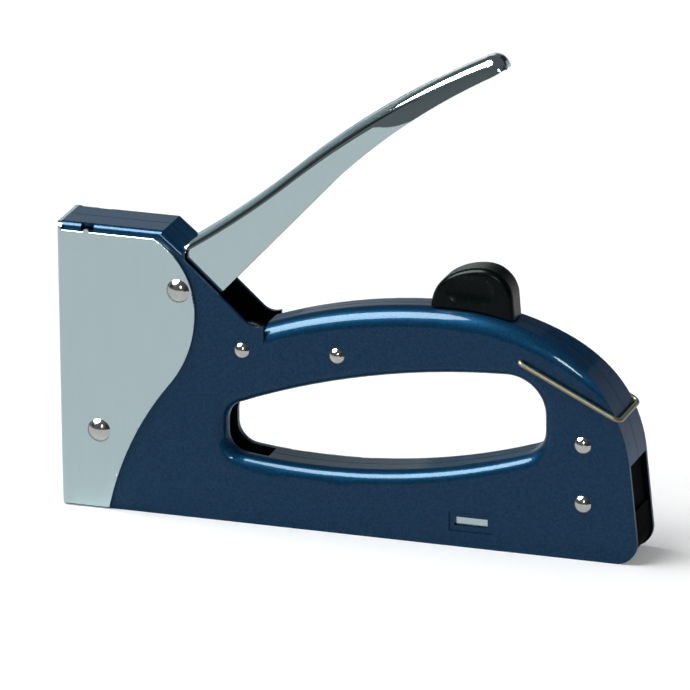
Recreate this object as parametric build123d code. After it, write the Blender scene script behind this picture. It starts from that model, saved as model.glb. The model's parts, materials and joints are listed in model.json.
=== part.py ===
from build123d import *
import math
import os

# Hand staple gun. Millimetres. X runs back from the front of the nose, Y across the body and Z up
# from the base. The finished pieces move so that the origin is the middle of the base.

# Sheet and widths
sheet = 1.2                # shell sheet
channel_fit = 0.15         # between the magazine channel and a shell
seam_gap = 0.2             # gap between the two shells at the seam
cheek_sheet = 1.0          # nose shield sheet
gap = 0.3                  # between pieces that move past each other
running = 0.05             # radial clearance of a turning or sliding fit
snug = 0.02                # radial clearance of a fixed pin in its hole
over = 25.0                # how far a shape runs on before it is trimmed
margin = 1.0               # how far a cut runs past a face

# Head
head_top = 86.4
head_length = 32.0         # nose to where the head starts to slope
slope_angle = 40.0         # head's rear slope, below level
slope_length = 8.6
head_bend = 1.8
nose_corner = 1.6          # outer bend of the shield, front to cheek
nose_top_round = 2.2       # upper corners of the shield's front plate
shield_bottom = 0.6
cheek_drop = 2.0           # cheek's top edge below the head
cheek_edge = 0.4           # rounding of the cheek's outer edges
cheek_top_x = 30.0         # cheek's outline: points along its S curve
cheek_shoulder = (38.6, 76.2)
cheek_bulge = (42.0, 64.4)
cheek_bow = (40.0, 51.2)
cheek_waist = (33.5, 39.8)
cheek_sweep = (22.6, 22.6)
cheek_foot_x = 14.8
catch_x = 9.2              # small catch on the cheek's top edge
catch_radius = 0.9
catch_notch = 4.0

# Grip
crest_x = 119.0            # highest point of the grip
crest_z = 70.6
grip_front_x = 62.6        # grip's top starts here
grip_front_radius = 165.0
grip_mid_radius = 68.0
grip_mid_turn = 27.0
grip_rear_radius = 42.0
grip_rear_turn = 57.5
grip_bend = 5.8            # rolled edge along the grip's top
roll_rear_radius = 75.0    # behind the crest the roll follows this flatter curve and runs out
roll_rear_turn = 50.0
rear_corner = 6.5
flange_end_z = 29.7        # rear flanges end here, the opening for the loader is below
slot_top_drop = 2.6        # slot edge below the end of the head's slope
notch_radius = 5.0
notch_lead = 3.5           # straight run from the grip's front to the notch

# Finger hole
hole_front_x = 50.2
hole_rear_x = 146.6
hole_front_z = (20.9, 34.2)
hole_rear_z = (31.3, 52.9)
hole_floor_sag = 6.3
hole_roof_rise = 5.3
hole_corners = (6.4, 8.5, 11.0, 6.4)   # front bottom, rear bottom, rear top, front top
hole_bend = 4.0
hole_rim = 6.0             # flat sheet kept around the hole's rolled edge
hole_gap_x = 62.0          # ahead of this the hole's flanges stay apart
hole_gap_half = 3.4

# Rivets: places, shanks and heads
pivot_x = 37.1
pivot_drop = 17.1          # lever pivot below the head top
pivot_radius = 2.5
nose_rivet_at = (12.1, 24.1)
nose_rivet_radius = 2.4
cheek_head_radius = 3.5
cheek_head_height = 1.7
spring_pin_at = (55.8, 52.7)
grip_rivet_at = (84.7, 54.0)
body_pin_radius = 1.6
body_head_radius = 2.35
body_head_height = 1.2
rear_rivet_inset = 16.3    # rear rivets ahead of the rear end
rear_rivet_z = (16.9, 34.8)
rear_pin_radius = 1.7
rear_head_radius = 2.6
rear_head_height = 1.3
spacer_wall = 1.0

# Lever
lever_play = 0.2           # beside each washer
lever_sheet = 1.2
lever_hub_radius = 9.0
lever_shoulder = 4.4
lever_press = 30.0         # degrees from rest to pressed
lever_lower_angle = 47.0   # lower edge near the head, above level
lever_lower_run = 53.0     # straight lower edge from the hub
lever_tip_x = 97.4         # tip beyond the pivot
lever_tip_z = 74.2         # tip's lower corner above the pivot
lever_root_angle = 77.5    # where the web starts, seen from the pivot
lever_root_radius = 16.6
lever_mid = (33.0, 37.7)   # top line where its bend changes, from the pivot
lever_top = (91.2, 77.0)   # top line at the tip, from the pivot
lever_root_sag = 1.0
washer = 0.6
bush_wall = 1.4

# Lift: arm, pawl and striker
arm_end_radius = 4.8
pawl_pin_radius = 2.0
pawl_half = 2.6
pawl_nose_half = 1.5       # height of the pawl's nose, halved
pawl_bite = 0.3            # how far the nose reaches into the striker
striker_sheet = 1.2
striker_play = 0.1         # narrower than a staple's crown on each side
striker_front = 1.3
striker_bottom = 0.8
striker_top = 70.0
tab_z = 33.0               # underside of the striker's tab
tab_sheet = 1.4
tab_length = 7.0
guide_sheet = 1.2
guide_top = 84.0
buffer_half_length = 5.5
buffer_half_width = 4.1
buffer_skirt = 1.0         # rubber below the spacer that it sits on

# Springs
power_wire = 2.2
power_turns = 2
power_pitch = 2.8
power_radius = 5.0         # middle of the wire
power_front_y = -3.2       # where the front arm lies
power_lean = 4.0           # rear arm leaves the coil this far above level
power_rise_x = 88.0        # rear arm turns up here
power_rise_angle = 25.0
power_bend = 8.8
return_wire = 1.1
return_turns = 3
return_pitch = 1.7
return_arm = 9.0
feed_wire = 0.8
feed_turns = 20
feed_radius = 2.6
feed_gap = 0.15            # between the loose pieces of the staple feed

# Staple feed
staple_crown = 11.4
staple_wire = 0.75
staple_clear = 0.15
channel_sheet = 1.2
rail_sheet = 0.8
rail_top = 12.6
rail_bottom = 0.5
pusher_sheet = 0.8
pusher_length = 9.0
pusher_inset = 1.0         # pusher behind the rail's front end
finger_half = 1.2          # pusher's finger, down through the rail's slot
finger_length = 3.0
rod_radius = 1.2
rod_z = 6.6
rod_inset = 2.0            # guide rod behind the rail's front end
tongue_length = 8.0        # loader end's tongue inside the rail
rail_pin_radius = 1.0
channel_front = 4.4
end_inset = 0.4            # loader's end ahead of the rear edge
end_step = 0.7             # its upper part stands further in
end_step_z = 15.6
end_round = 0.5

# Staple window
window_x = (119.9, 129.9)
window_z = (6.3, 9.0)
window_frame = 1.6
window_press = 0.35

# Power knob
knob_front_x = 111.7
knob_length = 24.6
knob_height = 12.5
knob_play = 0.5            # between the knob and the pressed lever
knob_edge = 1.8            # rounding of the knob's rim
knob_crown = 15.7          # highest point behind the knob's front
knob_brow = (5.6, 2.9)     # front's shoulder: behind the front and below the top
knob_heel_drop = 8.3
knob_roof = 4.0            # plastic left over the screw
dish_behind = 12.0         # middle of the thumb dish behind the knob's front
dish_below = 6.4           # and below its top
dish_half_length = 7.4
dish_half_height = 4.2
dish_depth = 1.0
knob_lift = 0.4
knob_travel = 5.0
stem_length = 10.0
stem_half = 1.7
carriage_length = 17.0
carriage_half = 4.8
carriage_height = 4.0
screw_radius = 1.2
screw_head_radius = 2.4
screw_head = 1.2

# Lock bail
wire_radius = 0.7
bail_behind = 21.2         # bail's pivot behind the grip's crest
bail_below = 12.4
bail_rest_angle = 24.5     # where the bow rests on the grip's rear curve
bail_corner = 2.2
bail_hook = 1.5            # wire's ends inside the shells

# Derived places
pivot_z = head_top - pivot_drop
channel_inner = staple_crown / 2.0 + staple_clear
channel_outer = channel_inner + channel_sheet
shell_inner = channel_outer + channel_fit
body_half = shell_inner + sheet
cheek_outer = body_half + cheek_sheet
lever_half = shell_inner - washer - 2.0 * lever_play
lever_inner = lever_half - lever_sheet
knob_half = lever_inner - knob_play
striker_half = staple_crown / 2.0 - striker_play
lift_rest = -lever_press / 2.0
striker_back = striker_front + striker_sheet
guide_front = striker_back + gap
guide_back = guide_front + guide_sheet
arm_radius = pivot_x - guide_back - gap - arm_end_radius
rail_half = staple_crown / 2.0 - staple_wire - staple_clear
pusher_top = rail_top + feed_gap + pusher_sheet
channel_roof = pusher_top + feed_gap
pawl_pin_x = pivot_x - arm_radius * math.cos(math.radians(lift_rest))
pawl_pin_z = pivot_z + arm_radius * math.sin(math.radians(lift_rest))
stroke = 2.0 * arm_radius * math.sin(math.radians(lever_press / 2.0))


def slab(face, y_low, y_high):
    """Solid over an XZ face between two Y planes."""
    return extrude(Plane.XZ.offset(-y_high) * face, amount=y_high - y_low)


def box(x, y, z):
    """Box given as three pairs of limits."""
    size = (x[1] - x[0], y[1] - y[0], z[1] - z[0])
    return Pos(sum(x) / 2.0, sum(y) / 2.0, sum(z) / 2.0) * Box(*size)


def rod(at, radius, y_low, y_high):
    """Round bar across the body at an XZ place."""
    return slab(Pos(*at) * Circle(radius), y_low, y_high)


def sleeve(at, inner, outer, half):
    return rod(at, outer, -half, half) - rod(at, inner, -half, half)


def polygon(*points):
    return make_face(Polyline(*points, close=True))


def turned(x, z, degrees):
    """XZ vector turned from X towards Z."""
    angle = math.radians(degrees)
    return (x * math.cos(angle) - z * math.sin(angle), x * math.sin(angle) + z * math.cos(angle))


def ahead(start, length, degrees):
    step = turned(length, 0.0, degrees)
    return (start[0] + step[0], start[1] + step[1])


def from_pivot(point):
    return (pivot_x + point[0], pivot_z + point[1])


def mirrored(solid):
    return mirror(solid, about=Plane.XZ)


# Outlines of the grip and the head

crest = (crest_x, crest_z)
grip_front_turn = math.degrees(math.asin((crest_x - grip_front_x) / grip_front_radius))
bail_pivot = (crest_x + bail_behind, crest_z - bail_below)
shell_front = cheek_sheet + snug


def arc_step(start, radius, heading, turn):
    """End of an arc that starts at a heading below level and turns further down."""
    first = math.radians(heading)
    last = math.radians(heading + turn)
    across = radius * (math.sin(last) - math.sin(first))
    down = radius * (math.cos(first) - math.cos(last))
    return (start[0] + across, start[1] - down)


grip_front = arc_step(crest, grip_front_radius, 0.0, -grip_front_turn)
grip_mid = arc_step(crest, grip_mid_radius, 0.0, grip_mid_turn)
grip_rear = arc_step(grip_mid, grip_rear_radius, grip_mid_turn, grip_rear_turn)
rear_lean = 90.0 - grip_mid_turn - grip_rear_turn
rear_centre = ahead(grip_mid, -grip_rear_radius, 90.0 - grip_mid_turn)
bail_end = ahead(rear_centre, grip_rear_radius + gap + wire_radius, bail_rest_angle)
slope_start = (head_length, head_top)
slope_end = ahead(slope_start, slope_length, -slope_angle)
slot_top = (slope_end[0], slope_end[1] - slot_top_drop)


def grip_line():
    """Top of the grip from its front to the start of the rear edge."""
    front_mid = arc_step(crest, grip_front_radius, 0.0, -grip_front_turn / 2.0)
    mid_mid = arc_step(crest, grip_mid_radius, 0.0, grip_mid_turn / 2.0)
    rear_mid = arc_step(grip_mid, grip_rear_radius, grip_mid_turn, grip_rear_turn / 2.0)
    return [
        ThreePointArc(grip_front, front_mid, crest),
        ThreePointArc(crest, mid_mid, grip_mid),
        ThreePointArc(grip_mid, rear_mid, grip_rear),
    ]


def roll_line():
    """Line that the grip's rolled edge follows: the grip's top, then a curve that leaves the body."""
    behind_mid = arc_step(crest, roll_rear_radius, 0.0, roll_rear_turn / 2.0)
    behind = arc_step(crest, roll_rear_radius, 0.0, roll_rear_turn)
    return [grip_line()[0], ThreePointArc(crest, behind_mid, behind)]


def grip_z(x, lift=0.0):
    """Height of the grip's top, or of a line lifted off it, near the crest."""
    radius = (grip_front_radius if x < crest_x else grip_mid_radius) + lift
    return crest_z + lift - radius + math.sqrt(radius ** 2 - (x - crest_x) ** 2)


def rear_at(z):
    """Rear edge's X at a height below the end of the grip's curve."""
    return grip_rear[0] + (grip_rear[1] - z) * math.tan(math.radians(rear_lean))


def corner_at(face, place):
    return face.vertices().sort_by_distance(Vector(*place))[0]


def hole_face():
    """Finger hole between two curved and two straight sides, corners rounded."""
    floor_front = (hole_front_x, hole_front_z[0])
    floor_rear = (hole_rear_x, hole_rear_z[0])
    roof_front = (hole_front_x, hole_front_z[1])
    roof_rear = (hole_rear_x, hole_rear_z[1])
    middle = (hole_front_x + hole_rear_x) / 2.0
    floor_mid = (middle, (floor_front[1] + floor_rear[1]) / 2.0 - hole_floor_sag)
    roof_mid = (middle, (roof_front[1] + roof_rear[1]) / 2.0 + hole_roof_rise)
    face = make_face([
        ThreePointArc(floor_front, floor_mid, floor_rear),
        Line(floor_rear, roof_rear),
        ThreePointArc(roof_rear, roof_mid, roof_front),
        Line(roof_front, floor_front),
    ])
    places = (floor_front, floor_rear, roof_rear, roof_front)
    for place, radius in zip(places, hole_corners):
        face = fillet(corner_at(face, place), radius)
    return face


def body_face():
    """Side of the body: base, rear edge, grip, lever slot and head."""
    grip_lead = ahead(grip_front, notch_lead, 180.0 + grip_front_turn)
    face = make_face([
        Line((shell_front, 0.0), (rear_at(0.0), 0.0)),
        Line((rear_at(0.0), 0.0), grip_rear),
        *grip_line(),
        Line(grip_front, grip_lead),
        Line(grip_lead, slot_top),
        Line(slot_top, slope_end),
        Line(slope_end, slope_start),
        Line(slope_start, (shell_front, head_top)),
        Line((shell_front, head_top), (shell_front, 0.0)),
    ])
    face = fillet(corner_at(face, (rear_at(0.0), 0.0)), rear_corner)
    return fillet(corner_at(face, grip_lead), notch_radius)


body_length = body_face().bounding_box().max.X
rear_rivet_x = body_length - rear_rivet_inset
pivot = (pivot_x, pivot_z)
rear_rivets_at = [(rear_rivet_x, z) for z in rear_rivet_z]


# Shells

def edges_along(edges, lines):
    """Edges beside given side view lines, on the line or one sheet off it."""
    def beside(edge):
        place = edge @ 0.5
        flat = Vertex(place.X, place.Z, 0.0)
        return min(flat.distance_to(line) for line in lines) < 2.0 * sheet

    return edges.filter_by(beside)


def rolled(face, depth, rolls):
    """Left half of the body over a face, with rolled edges given as lines and radii."""
    solid = extrude(Plane.XZ * face, amount=depth)
    for lines, radius in rolls:
        outer_edges = solid.edges().group_by(Axis.Y)[0]
        solid = fillet(edges_along(outer_edges, lines), radius)
    return solid


def thinner(rolls):
    """The same rolls on the inside of the sheet."""
    return [(lines, radius - sheet) for lines, radius in rolls]


def run_down(lines, first, last):
    """Face under a chain of lines, closed below the base."""
    return make_face([
        *lines,
        Line(last, (last[0], -over)),
        Line((last[0], -over), (first[0], -over)),
        Line((first[0], -over), first),
    ])


def grip_half():
    """Sheet of the grip with its rolled edge and finger hole, run on past the parts that stay flat."""
    first = ahead(grip_front, over, 180.0 + grip_front_turn)
    lead = Line(first, grip_front)
    real_end = (rear_at(-margin), -margin)
    real = run_down([lead, *grip_line(), Line(grip_rear, real_end)], first, real_end)
    roll = roll_line()
    roll_end = roll[-1] @ 1
    run_on = run_down([lead, *roll], first, (roll_end.X, roll_end.Y))
    hole = hole_face()
    rolls = [(hole.edges(), hole_bend), ([lead, *roll], grip_bend)]
    outer = rolled(run_on - hole, body_half, rolls) & slab(real, -body_half - margin, margin)
    inner = rolled(offset(run_on, -sheet) - offset(hole, sheet), shell_inner, thinner(rolls))
    return outer - (inner & slab(offset(real, -sheet), -body_half - margin, margin))


def head_half():
    """Head with a tight bend along its top and rear slope."""
    far_end = ahead(slope_start, slope_length + over, -slope_angle)
    first = (-over, head_top)
    top = [Line(first, slope_start), Line(slope_start, far_end)]
    face = run_down(top, first, far_end)
    rolls = [(top, head_bend)]
    return rolled(face, body_half, rolls) - rolled(offset(face, -sheet), shell_inner, thinner(rolls))


def grip_zone():
    """Where the grip's rolled sheet stands in for the flat sheet."""
    left = hole_front_x - hole_bend - margin
    low = (hole_front_z[0] + hole_rear_z[0]) / 2.0 - hole_floor_sag - hole_bend - margin
    shoulder = hole_rear_x + hole_bend + 2.0 * margin
    high = crest_z + over
    front_top = hole_front_z[1] + hole_bend + hole_rim
    right = body_length + over
    return polygon((left, low), (shoulder, low), (shoulder, flange_end_z), (right, flange_end_z),
                   (right, high), (grip_front[0], high), (grip_front[0], front_top), (left, front_top))


def head_zone():
    """Where the head's bent sheet stands in for the flat sheet."""
    out = ahead(slope_end, over, 90.0 - slope_angle)
    inward = ahead(slope_end, -head_bend - sheet, 90.0 - slope_angle)
    return polygon((shell_front, head_top + over), out, inward, (shell_front, inward[1]))


stem_front = knob_front_x + (knob_length - stem_length) / 2.0


def nose_room():
    """Space inside the bent shield, which the shells' front corners follow."""
    length = body_length + over
    face = Pos(shell_front + length / 2.0, 0.0) * Rectangle(length, 2.0 * body_half)
    face = fillet(face.vertices().group_by(Axis.X)[0], nose_corner - cheek_sheet)
    return Pos(0.0, 0.0, -margin) * extrude(face, amount=head_top + over)


def left_shell():
    flat = body_face() - hole_face() - grip_zone() - head_zone()
    shell = slab(flat, -body_half, -shell_inner)
    far = (-body_half - margin, 0.0)
    shell += grip_half() & slab(grip_zone(), *far)
    shell += head_half() & slab(head_zone(), *far)
    shell &= nose_room()
    for at, radius in shell_holes():
        shell -= rod(at, radius + snug, *far)
    shell -= rod(bail_pivot, wire_radius + running, *far)
    shell -= box((-over, body_length + over), (-seam_gap / 2.0, over), (-over, head_top + over))
    front_z = (hole_front_z[0] - hole_floor_sag, hole_front_z[1] + hole_roof_rise)
    shell -= box((hole_front_x - hole_bend, hole_gap_x), (-hole_gap_half, 0.0), front_z)
    notch_x = (catch_x - catch_notch / 2.0, catch_x + catch_notch / 2.0)
    notch_z = (head_top - cheek_drop, head_top + margin)
    shell -= box(notch_x, (-body_half - margin, -body_half + head_bend), notch_z)
    slot_x = (stem_front - gap, stem_front + stem_length + knob_travel + gap)
    slot_z = (hole_rear_z[1] + hole_bend, crest_z + margin)
    shell -= box(slot_x, (-stem_half - gap, 0.0), slot_z)
    frame_x = (window_x[0] - window_frame, window_x[1] + window_frame)
    frame_z = (window_z[0] - window_frame, window_z[1] + window_frame)
    shell -= box(frame_x, (-body_half - margin, -body_half + window_press), frame_z)
    return shell - box(window_x, far, window_z)


def shell_holes():
    holes = [(pivot, pivot_radius), (nose_rivet_at, nose_rivet_radius)]
    holes += [(at, body_pin_radius) for at in (spring_pin_at, grip_rivet_at)]
    return holes + [(at, rear_pin_radius) for at in rear_rivets_at]


# Nose shield

def cheek_lines():
    """Cheek's outline from the top edge, run on ahead of the nose, to its foot."""
    top = head_top - cheek_drop
    upper = (cheek_top_x, top)
    return [
        Line((-over, top), upper),
        ThreePointArc(upper, cheek_shoulder, cheek_bulge),
        ThreePointArc(cheek_bulge, cheek_bow, cheek_waist),
        ThreePointArc(cheek_waist, cheek_sweep, (cheek_foot_x, shield_bottom)),
    ]


def cheeks():
    """Both cheeks as one block with rounded rims, run on ahead of the nose and below."""
    lines = cheek_lines()
    foot = lines[-1] @ 1
    way = lines[-1] % 1
    below = (foot.X + over * way.X, foot.Y + over * way.Y)
    corner = (-over, below[1])
    face = make_face([*lines, Line(foot, below), Line(below, corner), Line(corner, lines[0] @ 0)])
    block = slab(face, -cheek_outer, cheek_outer)
    sides = block.edges().group_by(Axis.Y)
    return fillet(edges_along(sides[0] + sides[-1], lines), cheek_edge)


def top_corner(side):
    """What is cut off one upper corner of the front plate to round it."""
    y = side * (cheek_outer - nose_top_round)
    z = head_top - nose_top_round
    block = box((-margin, nose_corner), sorted((y, side * (cheek_outer + margin))), (z, head_top + margin))
    return block - Pos(0.0, y, 0.0) * along_x(nose_top_round, -margin, nose_corner, z)


def front_plate():
    """Front plate with the bends towards the cheeks."""
    outer = Pos(nose_corner, 0.0) * Rectangle(2.0 * nose_corner, 2.0 * cheek_outer)
    outer = fillet(outer.vertices().group_by(Axis.X)[0], nose_corner)
    inner = Pos(nose_corner + cheek_sheet, 0.0) * Rectangle(2.0 * nose_corner, 2.0 * body_half)
    inner = fillet(inner.vertices().group_by(Axis.X)[0], nose_corner - cheek_sheet)
    behind = Pos(2.0 * nose_corner, 0.0) * Rectangle(2.0 * nose_corner, 2.0 * cheek_outer + margin)
    plate = Pos(0.0, 0.0, shield_bottom) * extrude(outer - inner - behind, amount=head_top - shield_bottom)
    for side in (-1.0, 1.0):
        plate -= top_corner(side)
    return plate


def nose_shield():
    """Front plate and cheeks, bent from one sheet."""
    sides = cheeks() + rod((catch_x, head_top - cheek_drop), catch_radius, -cheek_outer, cheek_outer)
    room = cheek_outer + margin
    sides &= box((nose_corner, cheek_bulge[0] + over), (-room, room), (shield_bottom, head_top))
    sides -= box((0.0, cheek_bulge[0] + over), (-body_half, body_half), (0.0, head_top + margin))
    shield = front_plate() + sides
    for at, radius in ((pivot, pivot_radius), (nose_rivet_at, nose_rivet_radius)):
        shield -= rod(at, radius + snug, -over, over)
    return shield


# Rivets and sleeves

def rivet(at, radius, head_radius, head_height, seat):
    """Shank across the body with a dome on each side."""
    ball = (head_radius ** 2 + head_height ** 2) / (2.0 * head_height)
    solid = rod(at, radius, -seat, seat)
    for side in (-1.0, 1.0):
        centre = Pos(at[0], side * (seat + head_height - ball), at[1])
        outside = rod(at, ball, *sorted((side * seat, side * (seat + ball))))
        solid += (centre * Sphere(ball)) & outside
    return solid


def cheek_rivet(at, radius):
    return rivet(at, radius, cheek_head_radius, cheek_head_height, cheek_outer)


def body_rivet(at):
    return rivet(at, body_pin_radius, body_head_radius, body_head_height, body_half)


def rear_rivet(at):
    return rivet(at, rear_pin_radius, rear_head_radius, rear_head_height, body_half)


spacer_half = shell_inner - snug
nose_spacer_radius = nose_rivet_radius + snug + spacer_wall
bush_radius = pivot_radius + snug + bush_wall
spring_sleeve_radius = power_radius - power_wire / 2.0 - gap
rear_spacer_radius = rear_pin_radius + snug + spacer_wall
grip_spacer_radius = body_pin_radius + snug + spacer_wall


def rear_spacer(at):
    return sleeve(at, rear_pin_radius + snug, rear_spacer_radius, spacer_half)


def pivot_washers():
    middle = (lever_half + shell_inner) / 2.0
    solid = sleeve(pivot, pivot_radius + snug, bush_radius, washer / 2.0)
    return [Pos(0.0, side * middle, 0.0) * solid for side in (-1.0, 1.0)]


# Lever

def lever_lines():
    """Lower edge, tip and top line of the lever, and where they start."""
    lean = math.radians(lever_lower_angle)
    low = from_pivot((lever_hub_radius * math.sin(lean), -lever_hub_radius * math.cos(lean)))
    bend = ahead(low, lever_lower_run, lever_lower_angle)
    tip = from_pivot((lever_tip_x, lever_tip_z))
    root = ahead(pivot, lever_root_radius, lever_root_angle)
    mid = from_pivot(lever_mid)
    top = from_pivot(lever_top)
    chord = math.atan2(mid[1] - root[1], mid[0] - root[0])
    middle = ((root[0] + mid[0]) / 2.0, (root[1] + mid[1]) / 2.0)
    sag = (middle[0] + lever_root_sag * math.sin(chord), middle[1] - lever_root_sag * math.cos(chord))
    lower = Line(low, bend)
    lower_curve = TangentArc(bend, tip, tangent=lower % 1)
    first = ThreePointArc(root, sag, mid)
    second = TangentArc(mid, top, tangent=first % 1)
    end = TangentArc(top, tip, tangent=second % 1)
    return low, root, tip, [lower, lower_curve], [first, second, end]


def blade_face():
    low, root, tip, lower, upper = lever_lines()
    hub = ahead(pivot, lever_hub_radius, lever_root_angle)
    return make_face([*lower, *upper, Line(root, hub), Line(hub, pivot), Line(pivot, low)])


def blade_run_on():
    """Lever's top line and tip, run on below and past the pivot."""
    low, root, tip, lower, upper = lever_lines()
    start = upper[0] % 0
    finish = upper[-1] % 1
    back = (root[0] - over * start.X, root[1] - over * start.Y)
    under = (tip[0] + 2.0 * over * finish.X, tip[1] + 2.0 * over * finish.Y)
    corner = (back[0], under[1] - 2.0 * over)
    return make_face([*upper, Line(tip, under), Line(under, corner), Line(corner, back), Line(back, root)])


def upper_edges(solid):
    """Edges of the channel's shoulders, on both sides."""
    sides = solid.edges().group_by(Axis.Y)
    return edges_along(sides[0] + sides[-1], lever_lines()[-1])


def lever():
    outside = slab(blade_run_on(), -lever_half, lever_half)
    inside = slab(offset(blade_run_on(), -lever_sheet), -lever_inner, lever_inner)
    solid = fillet(upper_edges(outside), lever_shoulder)
    solid -= fillet(upper_edges(inside), lever_shoulder - lever_sheet)
    solid &= slab(blade_face(), -over, over)
    arm_end = (pawl_pin_x, pawl_pin_z)
    hub = Pos(*pivot) * Circle(lever_hub_radius)
    arm = make_hull((hub + Pos(*arm_end) * Circle(arm_end_radius)).edges())
    for side in (-1.0, 1.0):
        solid += slab(arm, *sorted((side * lever_inner, side * lever_half)))
    solid -= rod(pivot, pivot_radius + running, -over, over)
    return solid - rod(arm_end, pawl_pin_radius + snug, -over, over)


# Striker and its lift

window_half = pawl_half + gap
arm_z = spring_pin_at[1] - power_radius
spring_window = power_wire / 2.0 + gap
guide_slot_half = max(window_half, -power_front_y + spring_window)


def lifter_pawl():
    nose_z = (pawl_pin_z - pawl_nose_half, pawl_pin_z + pawl_nose_half)
    nose = box((striker_back - pawl_bite, pawl_pin_x), (-pawl_half, pawl_half), nose_z)
    solid = rod((pawl_pin_x, pawl_pin_z), 2.0 * pawl_pin_radius, -pawl_half, pawl_half) + nose
    return solid - rod((pawl_pin_x, pawl_pin_z), pawl_pin_radius + running, -over, over)


def striker():
    thick = (striker_front, striker_back)
    blade = box(thick, (-striker_half, striker_half), (striker_bottom, striker_top))
    lift_z = (pawl_pin_z - pawl_nose_half - 2.0 * gap, pawl_pin_z + pawl_nose_half + gap)
    blade -= box((0.0, over), (-window_half, window_half), lift_z)
    arm_y = (power_front_y - spring_window, power_front_y + spring_window)
    blade -= box((0.0, over), arm_y, (arm_z - spring_window, arm_z + spring_window))
    tab_x = (striker_front, striker_back + tab_length)
    return blade + box(tab_x, (-pawl_half, pawl_half), (tab_z, tab_z + tab_sheet))


def driver_guide():
    thick = (guide_front, guide_back)
    low = channel_roof + channel_sheet + gap
    plate = box(thick, (-spacer_half, spacer_half), (low, guide_top))
    return plate - box(thick, (-guide_slot_half, guide_slot_half), (tab_z - gap, guide_top - 2.0 * sheet))


def striker_buffer():
    x, z = nose_rivet_at
    block = box((x - buffer_half_length, x + buffer_half_length), (-buffer_half_width, buffer_half_width),
                (z - nose_spacer_radius - buffer_skirt, tab_z - gap))
    return block - rod(nose_rivet_at, nose_spacer_radius + snug, -over, over)


# Springs

def coil_path(centre, radius, pitch, first, last, across, up, axis):
    """Helix from one angle to another, in degrees, as pairs of arcs that meet smoothly."""
    centre = Vector(*centre)
    across = Vector(*across)
    up = Vector(*up)
    axis = Vector(*axis)
    steps = math.ceil(abs(last - first) / 90.0)
    edges = []

    def point(angle):
        turn = math.radians(angle)
        climb = axis * (pitch * (angle - first) / 360.0)
        return centre + across * (radius * math.cos(turn)) + up * (radius * math.sin(turn)) + climb

    def tangent(angle):
        turn = math.radians(angle)
        ahead_way = up * (radius * math.cos(turn)) - across * (radius * math.sin(turn))
        way = ahead_way + axis * (pitch / (2.0 * math.pi))
        return (way if last > first else way * -1.0).normalized()

    for step in range(steps):
        begin = first + (last - first) * step / steps
        finish = first + (last - first) * (step + 1) / steps
        p, q = point(begin), point(finish)
        s, t = tangent(begin), tangent(finish)
        chord = q - p
        lean = 2.0 * (1.0 - s.dot(t))
        reach = chord.dot(s + t)
        arm = (math.sqrt(reach ** 2 + lean * chord.dot(chord)) - reach) / lean
        joint = (p + s * arm + q - t * arm) * 0.5
        edges.append(TangentArc(p, joint, tangent=s))
        edges.append(TangentArc(joint, q, tangent=(q - t * arm) - joint))
    return edges


def least_gap(path, wire, coil_radius):
    """Least gap of a wire to itself, between points at least half a turn apart along it."""
    count = math.ceil(path.length / (wire / 2.0))
    step = path.length / count
    points = [tuple(path @ (index / count)) for index in range(count + 1)]
    apart = math.ceil(math.pi * coil_radius / step)
    pairs = ((p, q) for index, p in enumerate(points) for q in points[index + apart:])
    return min(math.dist(p, q) for p, q in pairs) - wire


def bent_wire(name, edges, wire, coil_radius):
    """Spring of round wire along a chain of edges."""
    path = Wire(edges)
    print(name, "least gap to itself", round(least_gap(path, wire, coil_radius), 2))
    return sweep(Plane(path @ 0, z_dir=path % 0) * Circle(wire / 2.0), path=path)


def power_spring():
    x, z = spring_pin_at
    coil = coil_path((x, power_front_y, z), power_radius, power_pitch, -90.0,
                     360.0 * power_turns - 90.0 + power_lean, (1, 0, 0), (0, 0, 1), (0, 1, 0))
    start = coil[0] @ 0
    finish = coil[-1] @ 1
    under = carriage_bottom - gap - power_wire / 2.0
    rise_z = finish.Z + (power_rise_x - finish.X) * math.tan(math.radians(power_lean))
    rise = (power_rise_x, finish.Y, rise_z)
    level_x = power_rise_x + (under - rise_z) / math.tan(math.radians(power_rise_angle))
    rear = FilletPolyline(finish, rise, (level_x, finish.Y, under),
                          (stem_front + stem_length, finish.Y, under), radius=power_bend)
    front = Line((striker_front, start.Y, start.Z), start)
    return bent_wire("power_spring", [front, *coil, *rear.edges()], power_wire, power_radius)


def lever_return_spring():
    radius = bush_radius + gap + return_wire / 2.0
    half = return_turns * return_pitch / 2.0
    coil = coil_path((pivot_x, -half, pivot_z), radius, return_pitch, -90.0, 360.0 * return_turns - 90.0,
                     (1, 0, 0), (0, 0, 1), (0, 1, 0))
    start = coil[0] @ 0
    finish = coil[-1] @ 1
    front = Line((start.X - return_arm, start.Y, start.Z), start)
    rear = Line(finish, (finish.X + return_arm, finish.Y, finish.Z))
    return bent_wire("lever_return_spring", [front, *coil, rear], return_wire, radius)


# Staple feed

end_front = rear_rivet_x + rear_spacer_radius + 2.0 * gap
end_top = flange_end_z - gap
rail_front = channel_front + gap
tongue_front = end_front - tongue_length
pusher_front = rail_front + pusher_inset
finger_rear = pusher_front + pusher_length
rail_pin_at = (tongue_front + tongue_length / 2.0, (rod_z + rod_radius + rail_top - rail_sheet) / 2.0)


def magazine_channel():
    x = (channel_front, rear_rivet_x - rear_spacer_radius - gap)
    solid = box(x, (-channel_outer, channel_outer), (0.0, channel_roof + channel_sheet))
    return solid - box(x, (-channel_inner, channel_inner), (0.0, channel_roof))


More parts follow.
